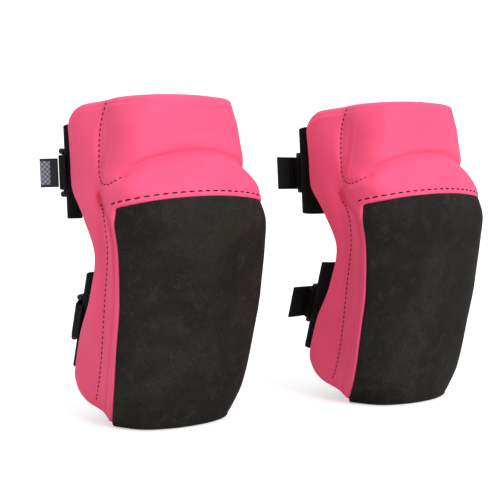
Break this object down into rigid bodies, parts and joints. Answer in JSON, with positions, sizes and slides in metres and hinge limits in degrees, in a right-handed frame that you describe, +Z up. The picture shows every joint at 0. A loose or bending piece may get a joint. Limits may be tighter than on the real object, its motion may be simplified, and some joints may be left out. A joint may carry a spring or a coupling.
{
  "type": "knee pads",
  "caption": "Pair of U-shaped padded knee pads with pink fabric covers, black leather wear panels, rear comfort bands, webbing straps and side release clips.",
  "frame": {"origin": "on the floor, at the centre of the pair's outline seen from above", "axes": "+Z up, knees face -Y, +X from the left pad to the right pad"},
  "size_m": [0.4034, 0.208, 0.29],
  "materials": {
    "cover": "laminated fabric with a fine weave, matt",
    "leather": "thick nubuck-like leather, mottled, matt",
    "firm_foam": null,
    "soft_foam": null,
    "gel": "sealed soft cushion",
    "lining": "knitted lining, matt",
    "band": "soft brushed band, matt",
    "webbing": "woven webbing, matt",
    "plastic": "moulded plastic, satin",
    "label": "woven tab"
  },
  "bodies": {
    "left_pad": {"left_cover": "cover", "left_front_panel": "leather", "left_firm_foam": "firm_foam", "left_soft_foam": "soft_foam", "left_knee_cushion": "gel", "left_lining": "lining", "left_label": "label", "left_upper_band_outer_tab": "band", "left_upper_band_inner_tab": "band", "left_upper_adjuster": "plastic", "left_upper_adjuster_anchor": "webbing", "left_upper_clip_socket": "plastic", "left_upper_clip_anchor": "webbing", "left_lower_band_outer_tab": "band", "left_lower_band_inner_tab": "band", "left_lower_adjuster": "plastic", "left_lower_adjuster_anchor": "webbing", "left_lower_clip_socket": "plastic", "left_lower_clip_anchor": "webbing"},
    "left_upper_strap": {"left_upper_band": "band", "left_upper_webbing": "webbing"},
    "left_upper_plug": {"left_upper_clip_plug": "plastic"},
    "left_upper_arm_top": {"left_upper_clip_arm_top": "plastic"},
    "left_upper_arm_bottom": {"left_upper_clip_arm_bottom": "plastic"},
    "left_lower_strap": {"left_lower_band": "band", "left_lower_webbing": "webbing"},
    "left_lower_plug": {"left_lower_clip_plug": "plastic"},
    "left_lower_arm_top": {"left_lower_clip_arm_top": "plastic"},
    "left_lower_arm_bottom": {"left_lower_clip_arm_bottom": "plastic"},
    "right_pad": {"right_cover": "cover", "right_front_panel": "leather", "right_firm_foam": "firm_foam", "right_soft_foam": "soft_foam", "right_knee_cushion": "gel", "right_lining": "lining", "right_upper_band_outer_tab": "band", "right_upper_band_inner_tab": "band", "right_upper_adjuster": "plastic", "right_upper_adjuster_anchor": "webbing", "right_upper_clip_socket": "plastic", "right_upper_clip_anchor": "webbing", "right_lower_band_outer_tab": "band", "right_lower_band_inner_tab": "band", "right_lower_adjuster": "plastic", "right_lower_adjuster_anchor": "webbing", "right_lower_clip_socket": "plastic", "right_lower_clip_anchor": "webbing"},
    "right_upper_strap": {"right_upper_band": "band", "right_upper_webbing": "webbing"},
    "right_upper_plug": {"right_upper_clip_plug": "plastic"},
    "right_upper_arm_top": {"right_upper_clip_arm_top": "plastic"},
    "right_upper_arm_bottom": {"right_upper_clip_arm_bottom": "plastic"},
    "right_lower_strap": {"right_lower_band": "band", "right_lower_webbing": "webbing"},
    "right_lower_plug": {"right_lower_clip_plug": "plastic"},
    "right_lower_arm_top": {"right_lower_clip_arm_top": "plastic"},
    "right_lower_arm_bottom": {"right_lower_clip_arm_bottom": "plastic"}
  },
  "joints": [
    {"name": "left_upper_strap_swing", "type": "hinge", "parent": "left_pad", "child": "left_upper_strap", "pos_m": [-0.1715, 0.09594, 0.22257], "axis": [0, 0.0698, 0.9976], "range_deg": [0, 100]},
    {"name": "left_upper_clip_release", "type": "slide", "parent": "left_upper_strap", "child": "left_upper_plug", "axis": [1, 0, 0], "range_m": [0, 0.023]},
    {"name": "left_upper_arm_top_squeeze", "type": "hinge", "parent": "left_upper_plug", "child": "left_upper_arm_top", "pos_m": [-0.1108, 0.09551, 0.23513], "axis": [0, 0.9976, -0.0698], "range_deg": [0, 8], "stiffness_Nm_per_rad": 0.05},
    {"name": "left_upper_arm_bottom_squeeze", "type": "hinge", "parent": "left_upper_plug", "child": "left_upper_arm_bottom", "pos_m": [-0.1108, 0.09377, 0.21019], "axis": [0, 0.9976, -0.0698], "range_deg": [-8, 0], "stiffness_Nm_per_rad": 0.05},
    {"name": "left_lower_strap_swing", "type": "hinge", "parent": "left_pad", "child": "left_lower_strap", "pos_m": [-0.1645, 0.08471, 0.09271], "axis": [0, -0.2756, 0.9613], "range_deg": [0, 100]},
    {"name": "left_lower_clip_release", "type": "slide", "parent": "left_lower_strap", "child": "left_lower_plug", "axis": [1, 0, 0], "range_m": [0, 0.023]},
    {"name": "left_lower_arm_top_squeeze", "type": "hinge", "parent": "left_lower_plug", "child": "left_lower_arm_top", "pos_m": [-0.1178, 0.08002, 0.10437], "axis": [0, 0.9613, 0.2756], "range_deg": [0, 8], "stiffness_Nm_per_rad": 0.05},
    {"name": "left_lower_arm_bottom_squeeze", "type": "hinge", "parent": "left_lower_plug", "child": "left_lower_arm_bottom", "pos_m": [-0.1178, 0.08691, 0.08034], "axis": [0, 0.9613, 0.2756], "range_deg": [-8, 0], "stiffness_Nm_per_rad": 0.05},
    {"name": "right_upper_strap_swing", "type": "hinge", "parent": "right_pad", "child": "right_upper_strap", "pos_m": [0.1765, 0.03993, 0.22257], "axis": [0, -0.0698, -0.9976], "range_deg": [0, 100]},
    {"name": "right_upper_clip_release", "type": "slide", "parent": "right_upper_strap", "child": "right_upper_plug", "axis": [-1, 0, 0], "range_m": [0, 0.023]},
    {"name": "right_upper_arm_top_squeeze", "type": "hinge", "parent": "right_upper_plug", "child": "right_upper_arm_top", "pos_m": [0.1158, 0.03951, 0.23513], "axis": [0, -0.9976, 0.0698], "range_deg": [0, 8], "stiffness_Nm_per_rad": 0.05},
    {"name": "right_upper_arm_bottom_squeeze", "type": "hinge", "parent": "right_upper_plug", "child": "right_upper_arm_bottom", "pos_m": [0.1158, 0.03777, 0.21019], "axis": [0, -0.9976, 0.0698], "range_deg": [-8, 0], "stiffness_Nm_per_rad": 0.05},
    {"name": "right_lower_strap_swing", "type": "hinge", "parent": "right_pad", "child": "right_lower_strap", "pos_m": [0.1695, 0.02871, 0.09271], "axis": [0, 0.2756, -0.9613], "range_deg": [0, 100]},
    {"name": "right_lower_clip_release", "type": "slide", "parent": "right_lower_strap", "child": "right_lower_plug", "axis": [-1, 0, 0], "range_m": [0, 0.023]},
    {"name": "right_lower_arm_top_squeeze", "type": "hinge", "parent": "right_lower_plug", "child": "right_lower_arm_top", "pos_m": [0.1228, 0.02402, 0.10437], "axis": [0, -0.9613, -0.2756], "range_deg": [0, 8], "stiffness_Nm_per_rad": 0.05},
    {"name": "right_lower_arm_bottom_squeeze", "type": "hinge", "parent": "right_lower_plug", "child": "right_lower_arm_bottom", "pos_m": [0.1228, 0.03091, 0.08034], "axis": [0, -0.9613, -0.2756], "range_deg": [-8, 0], "stiffness_Nm_per_rad": 0.05},
    {"name": "pair_spacing", "type": "slide", "parent": "left_pad", "child": "right_pad", "axis": [1, 0, 0], "range_m": [0, 0.3]}
  ],
  "couplings": [
    {"joint": "left_upper_arm_bottom_squeeze", "follows": "left_upper_arm_top_squeeze", "ratio": -1},
    {"joint": "left_lower_arm_bottom_squeeze", "follows": "left_lower_arm_top_squeeze", "ratio": -1},
    {"joint": "right_upper_arm_bottom_squeeze", "follows": "right_upper_arm_top_squeeze", "ratio": -1},
    {"joint": "right_lower_arm_bottom_squeeze", "follows": "right_lower_arm_top_squeeze", "ratio": -1}
  ]
}
